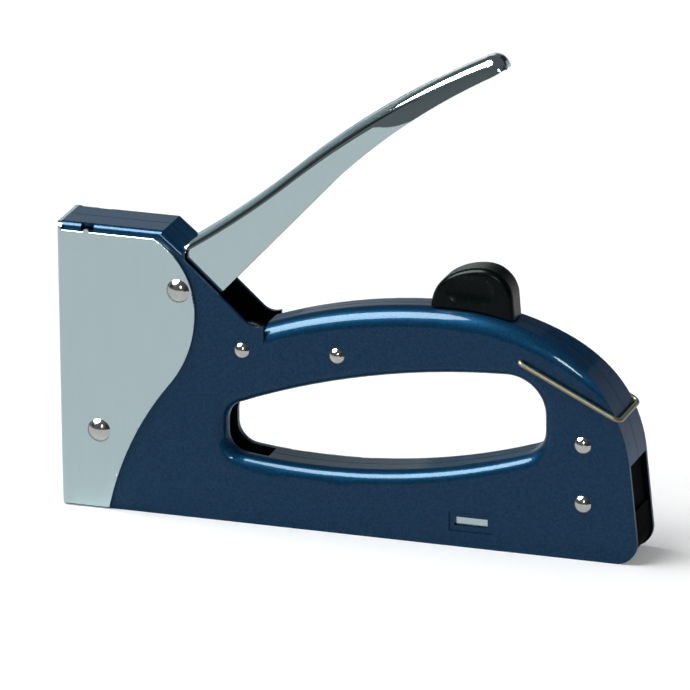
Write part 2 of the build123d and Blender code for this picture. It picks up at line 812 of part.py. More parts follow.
def staple_rail():
    x = (rail_front, end_front - snug)
    inner = rail_half - rail_sheet
    solid = box(x, (-rail_half, rail_half), (rail_bottom, rail_top))
    solid -= box(x, (-inner, inner), (rail_bottom, rail_top - rail_sheet))
    slot = finger_half + feed_gap
    solid -= box((pusher_front, tongue_front), (-slot, slot), (rod_z, rail_top + margin))
    return solid - rod(rail_pin_at, rail_pin_radius + snug, -over, over)


def pusher():
    x = (pusher_front, finger_rear)
    outer = channel_inner - feed_gap
    inner = rail_half + feed_gap
    solid = box(x, (-outer, outer), (rail_bottom + gap, pusher_top))
    solid -= box(x, (-inner, inner), (rail_bottom, rail_top + feed_gap))
    solid += box((finger_rear - finger_length, finger_rear), (-finger_half, finger_half),
                 (rod_z + feed_radius, pusher_top - pusher_sheet / 2.0))
    ring = feed_radius + feed_wire / 2.0
    eye = Rot(0, 90, 0) * Cylinder(ring, finger_length)
    solid += Pos(finger_rear - finger_length / 2.0, 0.0, rod_z) * eye
    return solid - along_x(rod_radius + running, 0.0, body_length, rod_z)


def along_x(radius, start, finish, z):
    return Pos((start + finish) / 2.0, 0.0, z) * (Rot(0, 90, 0) * Cylinder(radius, finish - start))


def guide_rod():
    return along_x(rod_radius, rail_front + rod_inset, end_front, rod_z)


def pusher_spring():
    start = finger_rear + feed_wire / 2.0 + snug
    finish = tongue_front - feed_wire / 2.0 - snug
    pitch = (finish - start) / feed_turns
    coil = coil_path((start, 0.0, rod_z), feed_radius, pitch, 0.0, 360.0 * feed_turns,
                     (0, 1, 0), (0, 0, 1), (1, 0, 0))
    return bent_wire("pusher_spring", coil, feed_wire, feed_radius)


def end_face():
    """Side of the loader's end: it follows the shells' rear edge, with a step to pull on."""
    def inside(z, inset):
        return (rear_at(z) - inset, z)

    deeper = end_inset + end_step
    face = polygon((end_front, rail_bottom), inside(rail_bottom, end_inset), inside(end_step_z, end_inset),
                   inside(end_step_z, deeper), inside(end_top, deeper), (end_front, end_top))
    face = fillet(corner_at(face, inside(rail_bottom, end_inset)), rear_corner)
    return fillet(corner_at(face, inside(end_step_z, end_inset)), end_round)


def loader_end():
    half = shell_inner - gap
    block = slab(end_face(), -half, half)
    inner = rail_half - rail_sheet - snug
    block += box((tongue_front, end_front), (-inner, inner), (rail_bottom, rail_top - rail_sheet - snug))
    block -= along_x(rod_radius + snug, tongue_front - margin, end_front, rod_z)
    return block - rod(rail_pin_at, rail_pin_radius + snug, -over, over)


def rail_pin():
    return rod(rail_pin_at, rail_pin_radius, -rail_half, rail_half)


# Power knob

stem_rear = stem_front + stem_length
screw_x = (stem_front + stem_rear) / 2.0
carriage_x = (screw_x - carriage_length / 2.0, screw_x + carriage_length / 2.0)
inner_bend = grip_bend - sheet
bend_start = body_half - grip_bend
bend_drop = inner_bend - math.sqrt(inner_bend ** 2 - max(0.0, carriage_half - bend_start) ** 2)
carriage_reach = (carriage_x[0], carriage_x[1] + knob_travel)
carriage_top = min(grip_z(x) for x in carriage_reach) - sheet - bend_drop - gap
carriage_bottom = carriage_top - carriage_height
knob_top = grip_z(screw_x, knob_lift) + knob_height


def knob_run_on():
    """Side of the knob, run on below the grip."""
    front = (knob_front_x, grip_z(knob_front_x, knob_lift))
    crown = (knob_front_x + knob_crown, knob_top)
    heel = (knob_front_x + knob_length, knob_top - knob_heel_drop)
    brow = (knob_front_x + knob_brow[0], knob_top - knob_brow[1])
    brow_arc = TangentArc(crown, brow, tangent=(-1.0, 0.0))
    front_arc = TangentArc(brow, front, tangent=brow_arc % 1)
    rear_arc = TangentArc(crown, heel, tangent=(1.0, 0.0))
    front_way = front_arc % 1
    rear_way = rear_arc % 1
    front_low = (front[0] + over * front_way.X, front[1] + over * front_way.Y)
    rear_low = (heel[0] + over * rear_way.X, heel[1] + over * rear_way.Y)
    return make_face([
        brow_arc,
        front_arc,
        Line(front, front_low),
        Line(front_low, rear_low),
        Line(rear_low, heel),
        rear_arc,
    ])


def above_grip(lift):
    """Everything over the grip's top by a given lift."""
    reach = 2.0 * knob_length
    left = (crest_x - reach, grip_z(crest_x - reach, lift))
    right = (crest_x + reach, grip_z(crest_x + reach, lift))
    mid_left = (crest_x - reach / 2.0, grip_z(crest_x - reach / 2.0, lift))
    mid_right = (crest_x + reach / 2.0, grip_z(crest_x + reach / 2.0, lift))
    top = (crest_x, crest_z + lift)
    high = knob_top + over
    return make_face([
        ThreePointArc(left, mid_left, top),
        ThreePointArc(top, mid_right, right),
        Line(right, (right[0], high)),
        Line((right[0], high), (left[0], high)),
        Line((left[0], high), left),
    ])


def thumb_dish(side):
    """Long round ended hollow for one side of the knob, -1 left and 1 right."""
    ball = (dish_half_height ** 2 + dish_depth ** 2) / (2.0 * dish_depth)
    run = dish_half_length - dish_half_height
    low, high = (-run, ball), (run, ball)
    slant = ball / math.sqrt(2.0)
    half = make_face([
        ThreePointArc((-run - ball, 0.0), (-run - slant, slant), low),
        Line(low, high),
        ThreePointArc(high, (run + slant, slant), (run + ball, 0.0)),
        Line((run + ball, 0.0), (-run - ball, 0.0)),
    ])
    place = (knob_front_x + dish_behind, side * (knob_half + ball - dish_depth), knob_top - dish_below)
    return Pos(*place) * revolve(half, axis=Axis.X)


def power_knob():
    solid = slab(knob_run_on(), -knob_half, knob_half)

    def rim(edge):
        place = edge @ 0.5
        return abs(place.Y) > knob_half / 2.0 and place.Z > crest_z

    solid = fillet(solid.edges().filter_by(rim), knob_edge)
    solid &= slab(above_grip(knob_lift), -over, over)
    for side in (-1.0, 1.0):
        solid -= thumb_dish(side)
    hole_top = knob_top - knob_roof
    return solid - Pos(screw_x, 0.0, hole_top - over / 2.0) * Cylinder(screw_radius + snug, over)


def power_carriage():
    solid = box(carriage_x, (-carriage_half, carriage_half), (carriage_bottom, carriage_top))
    stem_top = min(grip_z(x, knob_lift) for x in (stem_front, stem_rear))
    solid += box((stem_front, stem_rear), (-stem_half, stem_half), (carriage_top, stem_top))
    solid -= Pos(screw_x, 0.0, carriage_bottom) * Cylinder(screw_head_radius + snug, 2.0 * screw_head)
    return solid - Pos(screw_x, 0.0, stem_top) * Cylinder(screw_radius + snug, 4.0 * over)


def knob_screw():
    """Screw from inside the grip, its head sunk into the carriage."""
    low = carriage_bottom + snug
    tip = knob_top - knob_roof - snug
    shank = Pos(screw_x, 0.0, (low + tip) / 2.0) * Cylinder(screw_radius, tip - low)
    height = screw_head - 2.0 * snug
    head = Pos(screw_x, 0.0, low + height / 2.0) * Cylinder(screw_head_radius, height)
    return shank + head


# Lock bail

def lock_bail():
    """Wire bow whose ends turn into the shells."""
    inside = shell_inner - bail_hook
    outside = body_half + gap + wire_radius
    px, pz = bail_pivot
    ex, ez = bail_end
    reach = math.hypot(ex - px, ez - pz)
    plane = Plane((px, 0.0, pz), x_dir=(ex - px, 0.0, ez - pz), z_dir=(pz - ez, 0.0, ex - px))
    ends = Polyline((0.0, -inside), (0.0, -outside), (reach, -outside),
                    (reach, outside), (0.0, outside), (0.0, inside))
    wire = Wire(ends.edges())
    turns = wire.vertices().filter_by(lambda corner: abs(corner.Y) > outside - snug)
    far = turns.filter_by(lambda corner: corner.X > reach / 2.0)
    near = turns.filter_by(lambda corner: corner.X < reach / 2.0)
    wire = wire.fillet_2d(bail_corner, far).fillet_2d(wire_radius + gap / 2.0, near)
    path = plane * wire
    return sweep(Plane(path @ 0, z_dir=path % 0) * Circle(wire_radius), path=path)


left = left_shell()
pieces = {
    "left_shell": left,
    "right_shell": mirrored(left),
    "nose_shield": nose_shield(),
    "lever_pivot_pin": cheek_rivet(pivot, pivot_radius),
    "nose_rivet": cheek_rivet(nose_rivet_at, nose_rivet_radius),
    "spring_pin": body_rivet(spring_pin_at),
    "grip_rivet": body_rivet(grip_rivet_at),
    "rear_rivets": [rear_rivet(at) for at in rear_rivets_at],
    "pivot_washers": pivot_washers(),
    "lever_bush": sleeve(pivot, pivot_radius + snug, bush_radius, lever_inner - gap),
    "nose_spacer": sleeve(nose_rivet_at, nose_rivet_radius + snug, nose_spacer_radius, spacer_half),
    "spring_sleeve": sleeve(spring_pin_at, body_pin_radius + snug, spring_sleeve_radius, spacer_half),
    "grip_spacer": sleeve(grip_rivet_at, body_pin_radius + snug, grip_spacer_radius, spacer_half),
    "rear_spacers": [rear_spacer(at) for at in rear_rivets_at],
    "magazine_channel": magazine_channel(),
    "driver_guide": driver_guide(),
    "striker_buffer": striker_buffer(),
    "power_spring": power_spring(),
    "lever_return_spring": lever_return_spring(),
    "lever": lever(),
    "pawl_pin": rod((pawl_pin_x, pawl_pin_z), pawl_pin_radius, -lever_half, lever_half),
    "lifter_pawl": lifter_pawl(),
    "striker": striker(),
    "power_knob": power_knob(),
    "power_carriage": power_carriage(),
    "knob_screw": knob_screw(),
    "lock_bail": lock_bail(),
    "staple_rail": staple_rail(),
    "loader_end": loader_end(),
    "guide_rod": guide_rod(),
    "rail_pin": rail_pin(),
    "pusher_spring": pusher_spring(),
    "pusher": pusher(),
}

os.makedirs("parts", exist_ok=True)
to_origin = Pos(-body_length / 2.0, 0.0, 0.0)
for name, shape in pieces.items():
    solids = shape if isinstance(shape, list) else [shape]
    placed = [to_origin * solid for solid in solids]
    export_step(placed[0] if len(placed) == 1 else Compound(children=placed), f"parts/{name}.step")
origin_x = body_length / 2.0
print("body length", round(body_length, 2), "stroke", round(stroke, 3))
print("lever pivot", round(pivot_x - origin_x, 3), round(pivot_z, 3))
print("pawl pin", round(pawl_pin_x - origin_x, 3), round(pawl_pin_z, 3))
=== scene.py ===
import json
import math

import bmesh
import bpy
from mathutils import Matrix, Vector


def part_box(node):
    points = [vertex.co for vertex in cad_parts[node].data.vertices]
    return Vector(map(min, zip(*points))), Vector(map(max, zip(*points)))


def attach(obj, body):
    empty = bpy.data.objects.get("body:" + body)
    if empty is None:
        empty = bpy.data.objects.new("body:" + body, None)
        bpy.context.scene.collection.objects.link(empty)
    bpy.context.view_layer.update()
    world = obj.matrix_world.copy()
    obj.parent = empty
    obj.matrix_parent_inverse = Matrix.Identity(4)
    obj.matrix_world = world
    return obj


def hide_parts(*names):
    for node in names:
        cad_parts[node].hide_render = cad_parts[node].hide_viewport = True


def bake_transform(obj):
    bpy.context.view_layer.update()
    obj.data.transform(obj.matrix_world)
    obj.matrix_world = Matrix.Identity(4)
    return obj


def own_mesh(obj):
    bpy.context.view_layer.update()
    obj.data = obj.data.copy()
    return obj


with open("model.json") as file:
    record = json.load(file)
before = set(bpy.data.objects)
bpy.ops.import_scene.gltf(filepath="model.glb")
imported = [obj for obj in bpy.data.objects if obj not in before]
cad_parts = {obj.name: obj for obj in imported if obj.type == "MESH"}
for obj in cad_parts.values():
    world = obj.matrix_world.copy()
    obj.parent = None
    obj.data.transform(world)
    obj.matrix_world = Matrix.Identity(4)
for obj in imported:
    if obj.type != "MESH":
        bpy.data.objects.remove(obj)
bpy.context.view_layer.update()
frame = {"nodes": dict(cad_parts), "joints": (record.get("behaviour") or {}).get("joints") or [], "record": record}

MM = 0.001
WHITE = (1.0, 1.0, 1.0)

# Camera, fitted to points on the object in the photograph; angles in degrees
IMAGE_SIDE = 690
FOCAL_PIXELS = 10000.0
SENSOR_MM = 36.0
CAMERA_AZIMUTH = 19.1
CAMERA_ELEVATION = 19.5
CAMERA_ROLL = 0.62
CAMERA_TARGET = (-16.608 * MM, 39.476 * MM, 39.915 * MM)
CAMERA_DISTANCE = 2915.45 * MM
CAMERA_REACH = 50.0              # how far it sees, in metres

# Lever, seen from the side and measured from its pivot, in millimetres
LEVER_ROOT = (15.2, 77.0)        # where the web starts: radius, degrees
LEVER_MID = (33.0, 37.7)         # top line where its bend changes
LEVER_TOP = (91.2, 76.95)        # top line at the tip
LEVER_TIP = (97.4, 74.2)
LEVER_ROOT_SAG = 0.6
LEVER_HUB_RADIUS = 9.0
LEVER_LOWER_ANGLE = 47.0         # of the lower edge next to the hub, degrees
LEVER_LOWER_RUN = 53.0           # straight length of that edge
LEVER_SHEET = 1.2
LEVER_RUN_ON = 4.0               # of the web under the head, ahead of the root
LEVER_SHOULDER = (2.6, 4.4)      # bend between web and side, at the head and at the tip
LEVER_FLARE = (14.0, 32.0)       # lean of the sides at the tip, below and above, degrees
LEVER_FLARE_FROM = 0.50          # shares of the lever's length where that lean begins and is full
LEVER_FLARE_TO = 0.85
LEVER_NOSE_TAPER = 0.8           # how much the end is rounded, seen from above
LEVER_LEAST_DEPTH = 0.3          # of the section at the very tip
ARM_END_RADIUS = 4.8
PIVOT_BORE = 2.55                # radii of the bores
PAWL_BORE = 2.02

# Steps of the lever's mesh
TOP_STEPS = (24, 44, 16)         # sections along each arc of the top line
LOWER_STEPS = 60                 # points along the arc of the lower edge
SIDE_ROWS = 30                   # points down each side of a section
WEB_ROWS = 6
ROWS_PER_RADIAN = 12.0           # how those points are shared between the bend and the flat side
ROWS_PER_MM = 0.5
HUB_STEPS = 8
ARM_END_STEPS = 24
BORE_STEPS = 32

# Noise patterns: cycles per metre and detail
FLAKES = (1500.0, 4.0)
CLOUDS = (60.0, 3.0)
METAL_PATTERN = (900.0, 3.0)
PLASTIC_PATTERN = (2500.0, 2.0)
FLOOR_PATTERN = (3.0, 2.0)
FELT_PATTERN = (40.0, 2.0)
NOISE_BAND = (0.3, 0.7)          # where most of a noise value lies
EVEN = (1.0, 1.0, 1.0)           # stretch of a pattern
UPRIGHT = (1.0, 1.0, 0.08)

# Lacquer, between the flakes and on them, its clear coat, and painted shade on the shells' faces inside
LACQUER_DARK = (0.0008, 0.0225, 0.060)
LACQUER_LIGHT = (0.0040, 0.0400, 0.098)
LACQUER_METALLIC = 0.3
LACQUER_ROUGH = (0.36, 0.42)
LACQUER_GLOSS = 0.04
LACQUER_TINT = (0.25, 0.50, 0.65)
COAT_WEIGHT = 0.26
COAT_ROUGH = 0.05
# painted shade: dark tones on the shells' inside faces, standing in for the shade within the body
INSIDE_SHADE_DARK = (0.004, 0.004, 0.005)
INSIDE_SHADE_LIGHT = (0.007, 0.007, 0.008)
INWARD_LIMIT = -0.3              # outward part of a normal, below which a face is taken as inside

# Metals: dark tone, light tone, roughness and stretch of the pattern
METALS = {
    "nickel_plate": ((0.343, 0.428, 0.446), (0.357, 0.442, 0.460), (0.19, 0.22), UPRIGHT),
    "chrome_plate": ((0.345, 0.430, 0.448), (0.355, 0.440, 0.458), (0.03, 0.05), EVEN),
    "bright_steel": ((0.52, 0.52, 0.51), (0.62, 0.62, 0.61), (0.16, 0.24), EVEN),
    "rivet_steel": ((0.34, 0.34, 0.33), (0.40, 0.40, 0.39), (0.10, 0.16), EVEN),
    "spring_wire": ((0.018, 0.018, 0.020), (0.030, 0.030, 0.033), (0.38, 0.48), EVEN),
    "brass_wire": ((0.195, 0.175, 0.130), (0.210, 0.188, 0.142), (0.42, 0.46), EVEN),
}

# Plastics and rubber: dark tone, light tone, roughness, height of the grain and gloss
PLASTICS = {
    "black_plastic": ((0.0004, 0.0020, 0.0025), (0.0010, 0.0035, 0.0040), (0.24, 0.30), 0.006 * MM, 0.07),
    "matte_plastic": ((0.0006, 0.0010, 0.0016), (0.0010, 0.0016, 0.0024), (0.5, 0.6), 0.02 * MM, 0.004),
    "black_rubber": ((0.010, 0.010, 0.010), (0.022, 0.022, 0.022), (0.70, 0.80), 0.05 * MM, 0.12),
}
GRAIN_STRENGTH = 0.35

# Nodes whose finish differs a little from the rest of their slot
OWN_FINISH = {
    "loader_end": "matte_plastic",
    "magazine_channel": "nickel_plate",
    "lever_pivot_pin": "rivet_steel",
    "nose_rivet": "rivet_steel",
    "spring_pin": "rivet_steel",
    "grip_rivet": "rivet_steel",
    "rear_rivets": "rivet_steel",
}

# Room and floor
WORLD_COLOUR = (0.95, 0.97, 1.0)
WORLD_LEVEL = 0.18               # overhead and in front
HORIZON_LEVEL = 0.60             # added at the back, near the horizon
HORIZON_HEIGHT = 0.42            # sine of the elevation where that ends
FLOOR_REACH = 6.0                # metres from its middle to each edge
FLOOR_DARK = (0.90, 0.90, 0.90)
FLOOR_LIGHT = (0.94, 0.94, 0.94)
FLOOR_ROUGH = 0.9
FLOOR_GLOW = 0.19                # whitens the floor where it is seen or mirrored

# Lamps, by the direction that they stand in
KEY_LEVEL = 2.7
KEY_SPREAD = 40.0                # degrees
KEY_FROM = (-0.45, -0.15, 0.88)
BOX_DISTANCE = 1.3               # metres from the middle of the base
BOX_COLOUR = (0.88, 0.98, 0.90)
SOFTBOXES = {                    # direction, size along and across in metres, and power
    "left_softbox": ((-0.52, -0.26, 0.82), (1.0, 0.95), 84.0),
    "front_softbox": ((0.205, -0.842, 0.50), (0.12, 0.34), 5.5),
    "back_softbox": ((-0.35, 0.89, 0.29), (0.84, 0.37), 0.62),
}

# Cards that the bright metal mirrors
BLACK_FELT = (0.012, 0.012, 0.013)
GREY_FELT = (0.42, 0.58, 0.66)
BLUE_FELT = (0.55, 0.75, 0.90)
PALE_FELT = (0.90, 0.98, 1.0)
FELT_WEAR = 0.9                  # dark tone of a felt, as a share of its light tone
FELT_ROUGH = 0.95
CARDS = {                        # two corners on the floor plan and heights, in metres, and tone
    "left_card": ((-1.1, 0.20), (-1.1, 1.40), (0.10, 0.80), PALE_FELT),
    "middle_card": ((-1.1, -0.18), (-1.1, 0.20), (0.20, 0.80), GREY_FELT),
    "corner_card": ((-1.1, -0.95), (-1.1, -0.18), (0.20, 0.70), BLACK_FELT),
    "right_card": ((0.10, 1.25), (1.2, 0.62), (0.42, 0.90), BLACK_FELT),
    "side_card": ((0.32, -0.50), (0.32, 0.05), (0.0, 0.35), BLACK_FELT),
    "low_card": ((-0.40, 0.30), (0.10, 0.30), (0.0, 0.10), BLUE_FELT),
}


def new_material(name):
    """New material and its shader."""
    material = bpy.data.materials.new(name)
    material.use_nodes = True
    shader = material.node_tree.nodes["Principled BSDF"]
    return material, shader


def add_node(material, kind, **settings):
    node = material.node_tree.nodes.new(kind)
    for key, value in settings.items():
        setattr(node, key, value)
    return node


def join(material, out_socket, in_socket):
    material.node_tree.links.new(out_socket, in_socket)


def noise(material, pattern, stretch=EVEN):
    """Noise in object space."""
    scale, detail = pattern
    place = add_node(material, "ShaderNodeTexCoord")
    mapping = add_node(material, "ShaderNodeMapping")
    mapping.inputs["Scale"].default_value = stretch
    join(material, place.outputs["Object"], mapping.inputs["Vector"])
    texture = add_node(material, "ShaderNodeTexNoise")
    texture.inputs["Scale"].default_value = scale
    texture.inputs["Detail"].default_value = detail
    join(material, mapping.outputs["Vector"], texture.inputs["Vector"])
    return texture.outputs["Fac"]


def spread(material, value, limits):
    """Noise stretched from its narrow band to the range between two limits."""
    ranged = add_node(material, "ShaderNodeMapRange")
    ranged.inputs["From Min"].default_value = NOISE_BAND[0]
    ranged.inputs["From Max"].default_value = NOISE_BAND[1]
    ranged.inputs["To Min"].default_value = limits[0]
    ranged.inputs["To Max"].default_value = limits[1]
    join(material, value, ranged.inputs["Value"])
    return ranged.outputs["Result"]


def two_tone(material, value, dark, light):
    """Colour between two tones, set by a noise value."""
    ramp = add_node(material, "ShaderNodeValToRGB")
    for element, position, tone in zip(ramp.color_ramp.elements, NOISE_BAND, (dark, light)):
        element.position = position
        element.color = (*tone, 1.0)
    join(material, value, ramp.inputs["Fac"])
    return ramp.outputs["Color"]


def grain(material, shader, value, height):
    """Fine surface relief from a noise value; height in metres."""
    bump = add_node(material, "ShaderNodeBump")
    bump.inputs["Strength"].default_value = GRAIN_STRENGTH
    bump.inputs["Distance"].default_value = height
    join(material, value, bump.inputs["Height"])
    join(material, bump.outputs["Normal"], shader.inputs["Normal"])


def number(material, operation, first, second):
    """Math node on two sockets or plain numbers."""
    node = add_node(material, "ShaderNodeMath", operation=operation)
    for socket, value in zip(node.inputs, (first, second)):
        if isinstance(value, float):
            socket.default_value = value
        else:
            join(material, value, socket)
    return node.outputs["Value"]


def inward(material):
    """1 on the faces of a shell that look towards the middle of the body, which get painted shade; 0 elsewhere."""
    place = add_node(material, "ShaderNodeTexCoord")
    where = add_node(material, "ShaderNodeSeparateXYZ")
    facing = add_node(material, "ShaderNodeSeparateXYZ")
    join(material, place.outputs["Object"], where.inputs["Vector"])
    join(material, place.outputs["Normal"], facing.inputs["Vector"])
    side = number(material, "SIGN", where.outputs["Y"], 0.0)
    outward = number(material, "MULTIPLY", side, facing.outputs["Y"])
    return number(material, "LESS_THAN", outward, INWARD_LIMIT)


def lacquer(name):
    """Metallic blue lacquer outside, fine flakes under a clear coat; painted shade inside, dark and without metal
    or coat.
    """
    material, shader = new_material(name)
    flakes = noise(material, FLAKES)
    inside = inward(material)
    outside = number(material, "SUBTRACT", 1.0, inside)
    blend = add_node(material, "ShaderNodeMix", data_type="RGBA")
    join(material, inside, blend.inputs["Factor"])
    join(material, two_tone(material, flakes, LACQUER_DARK, LACQUER_LIGHT), blend.inputs["A"])
    join(material, two_tone(material, flakes, INSIDE_SHADE_DARK, INSIDE_SHADE_LIGHT), blend.inputs["B"])
    join(material, blend.outputs["Result"], shader.inputs["Base Color"])
    join(material, number(material, "MULTIPLY", outside, LACQUER_METALLIC), shader.inputs["Metallic"])
    clouds = noise(material, CLOUDS)
    join(material, spread(material, clouds, LACQUER_ROUGH), shader.inputs["Roughness"])
    shader.inputs["Specular IOR Level"].default_value = LACQUER_GLOSS
    shader.inputs["Specular Tint"].default_value = (*LACQUER_TINT, 1.0)
    join(material, number(material, "MULTIPLY", outside, COAT_WEIGHT), shader.inputs["Coat Weight"])
    shader.inputs["Coat Roughness"].default_value = COAT_ROUGH
    return material


def metal(name, dark, light, rough, stretch):
    """Plated or drawn metal, with a slight change of tone and polish."""
    material, shader = new_material(name)
    shader.inputs["Metallic"].default_value = 1.0
    value = noise(material, METAL_PATTERN, stretch)
    join(material, two_tone(material, value, dark, light), shader.inputs["Base Color"])
    join(material, spread(material, value, rough), shader.inputs["Roughness"])
    return material


def plastic(name, dark, light, rough, height, gloss):
    """Moulded plastic or rubber with a fine grain."""
    material, shader = new_material(name)
    shader.inputs["Specular IOR Level"].default_value = gloss
    value = noise(material, PLASTIC_PATTERN)
    join(material, two_tone(material, value, dark, light), shader.inputs["Base Color"])
    join(material, spread(material, value, rough), shader.inputs["Roughness"])
    grain(material, shader, value, height)
    return material


def make_materials():
    materials = {"blue_lacquer": lacquer("blue_lacquer")}
    for name, finish in METALS.items():
        materials[name] = metal(name, *finish)
    for name, finish in PLASTICS.items():
        materials[name] = plastic(name, *finish)
    return materials


def dress_nodes(materials):
    """Every CAD node takes the material of its slot in the record, or its own."""
    slots = {entry["node"]: entry["material_slot"] for entry in frame["record"]["subparts"]}
    for name, node in frame["nodes"].items():
        finish = OWN_FINISH.get(name, slots[name])
        node.data.materials.clear()
        node.data.materials.append(materials[finish])


def polar(radius, degrees):
    angle = math.radians(degrees)
    return radius * Vector((math.cos(angle), math.sin(angle)))


def arc_to(start, heading, end, steps):
    """Points and headings along the arc that leaves start at a heading and reaches end."""
    chord = end - start
    half_turn = math.atan2(chord.y, chord.x) - heading
    radius = chord.length / (2.0 * math.sin(half_turn))
    line = []
    for step in range(1, steps + 1):
        turn = 2.0 * half_turn * step / steps
        along = heading + turn / 2.0
        reach = 2.0 * radius * math.sin(turn / 2.0)
        line.append((start + reach * Vector((math.cos(along), math.sin(along))), heading + turn))
    return line


def lever_top_line():
    """Points and headings of the lever's top line, from the head to the tip."""
    root = polar(*LEVER_ROOT)
    chord = Vector(LEVER_MID) - root
    dip = 2.0 * math.atan2(2.0 * LEVER_ROOT_SAG, chord.length)
    heading = math.atan2(chord.y, chord.x) - dip
    ahead = Vector((math.cos(heading), math.sin(heading)))
    line = [(root - LEVER_RUN_ON * ahead, heading), (root, heading)]
    for end, steps in zip((LEVER_MID, LEVER_TOP, LEVER_TIP), TOP_STEPS):
        line += arc_to(*line[-1], Vector(end), steps)
    return line


def lever_lower_edge():
    """Points of the lever's lower edge: straight from the hub, then an arc to the tip."""
    low = polar(LEVER_HUB_RADIUS, LEVER_LOWER_ANGLE - 90.0)
    bend = low + polar(LEVER_LOWER_RUN, LEVER_LOWER_ANGLE)
    curve = arc_to(bend, math.radians(LEVER_LOWER_ANGLE), Vector(LEVER_TIP), LOWER_STEPS)
    return [low, bend] + [point for point, heading in curve]


def depth_below(point, down, edge):
    """Least distance from a point, in the direction down, to an edge."""
    depths = []
    for first, second in zip(edge, edge[1:]):
        near = (first - point).cross(down)
        far = (second - point).cross(down)
        if near * far <= 0.0 and near != far:
            depths.append((first.lerp(second, near / (near - far)) - point).dot(down))
    return min((depth for depth in depths if depth > 0.0), default=0.0)


def side_rows(depth, shoulder, leans):
    """One side of a section, from its lower edge to the web: across, down and lift of the normal.

    Across is measured from the middle of the shoulder's bend."""
    low, high = (math.tan(lean) for lean in leans)
    lift = max(leans[1], math.asin(max(0.0, 1.0 - depth / shoulder)))
    height = max(0.0, depth - shoulder * (1.0 - math.sin(lift)))
    flat = height * ROWS_PER_MM
    total = flat + (math.pi / 2.0 - lift) * ROWS_PER_RADIAN
    rows = []
    for row in range(SIDE_ROWS + 1):
        spent = total * row / SIDE_ROWS
        if spent < flat:
            left = 1.0 - spent / flat
            slope = high + (low - high) * left
            across = shoulder * math.cos(lift) + height * left * (high + slope) / 2.0
            rows.append((across, depth - height * (1.0 - left), math.atan(slope)))
        else:
            turn = lift + (spent - flat) / ROWS_PER_RADIAN
            rows.append((shoulder * math.cos(turn), shoulder * (1.0 - math.sin(turn)), turn))
    return rows


def web_rows(reach):
    """Points of a section between its two shoulders, in the same terms as its sides."""
    shares = [2.0 * row / WEB_ROWS - 1.0 for row in range(1, WEB_ROWS)]
    return [(reach * share, 0.0, math.pi / 2.0) for share in shares]


def eased(value, low, high):
    """0 below low, 1 above high and a smooth step between."""
    share = min(1.0, max(0.0, (value - low) / (high - low)))
    return share * share * (3.0 - 2.0 * share)


def skin_point(pivot, point, upright, down, row):
    """Place and normal of one point of a section."""
    across, low, turn = row
    spot = point + low * down
    facing = math.copysign(math.cos(turn), across)
    normal = Vector((upright.x * math.sin(turn), facing, upright.y * math.sin(turn)))
    return pivot + MM * Vector((spot.x, across, spot.y)), normal.normalized()


def lever_sections(pivot, half):
    """Points of the lever's outer skin and their normals, section by section.

    Past the nose the sections lean over towards the tip and grow narrower."""
    line = lever_top_line()
    edge = lever_lower_edge()
    nose = len(line) - 1 - TOP_STEPS[-1]
    sections = []
    for index, (point, heading) in enumerate(line):
        upright = Vector((-math.sin(heading), math.cos(heading)))
        share = min(1.0, index / nose)
        past_nose = (index - nose) / TOP_STEPS[-1]
        shoulder = LEVER_SHOULDER[0] + share * (LEVER_SHOULDER[1] - LEVER_SHOULDER[0])
        if index <= nose:
            down = -upright
            depth = depth_below(point, down, edge)
            foot = point + depth * down
        elif index < len(line) - 1:
            reach = foot.lerp(edge[-1], past_nose) - point
            down = reach.normalized()
            depth = reach.length
        depth = max(LEVER_LEAST_DEPTH, depth)
        flare = eased(share, LEVER_FLARE_FROM, LEVER_FLARE_TO)
        side = side_rows(depth, shoulder, [flare * math.radians(lean) for lean in LEVER_FLARE])
        if index <= nose:
            flat = half - side[0][0]
            width = 1.0
        else:
            width = math.sqrt(1.0 - (LEVER_NOSE_TAPER * past_nose) ** 2)
        side = [(width * (flat + across), low, turn) for across, low, turn in side]
        rows = [(-across, low, turn) for across, low, turn in side]
        rows += web_rows(side[-1][0]) + side[::-1]
        sections.append([skin_point(pivot, point, upright, down, row) for row in rows])
    return sections


def rim_loop(rows, columns):
    """Corners around the edge of a grid of points, in order."""
    last = (rows - 1) * columns
    rim = [row * columns for row in range(rows - 1, 0, -1)]
    rim += list(range(columns - 1))
    rim += [row * columns + columns - 1 for row in range(rows - 1)]
    rim += [last + column for column in range(columns - 1, 0, -1)]
    return rim


def make_lever_blade(pivot, half, material):
    """Pressed channel of the lever: an outer and an inner skin, joined around their edge."""
    sections = lever_sections(pivot, half)
    wide = len(sections[0])
    outer = [pair for section in sections for pair in section]
    count = len(outer)
    points = [point for point, normal in outer]
    points += [point - MM * LEVER_SHEET * normal for point, normal in outer]
    faces = []
    normals = []
    for row in range(len(sections) - 1):
        for column in range(wide - 1):
            first = row * wide + column
            ring = (first, first + wide, first + wide + 1, first + 1)
            faces.append(ring)
            normals += [outer[corner][1] for corner in ring]
            faces.append(tuple(corner + count for corner in ring[::-1]))
            normals += [-outer[corner][1] for corner in ring[::-1]]
    skins = len(faces)
    rim = rim_loop(len(sections), wide)
    for first, second in zip(rim, rim[1:] + rim[:1]):
        faces.append((first, second, second + count, first + count))
    mesh = bpy.data.meshes.new("lever_blade")
    mesh.from_pydata(points, [], faces)
    mesh.update()
    for index, face in enumerate(mesh.polygons):
        face.use_smooth = index < skins
        if index >= skins:
            normals += [face.normal.copy() for corner in face.vertices]
    mesh.normals_split_custom_set(normals)
    return add_piece("lever_blade", mesh, material, "lever_body")


def ring_points(centre, radius, start, finish, steps):
    """Points along an arc, from one angle to another in degrees."""
    angles = [start + (finish - start) * step / steps for step in range(steps + 1)]
    return [centre + polar(radius, angle) for angle in angles]


def bore_points(centre, radius):
    return ring_points(centre, radius, 0.0, 360.0, BORE_STEPS)[:-1]


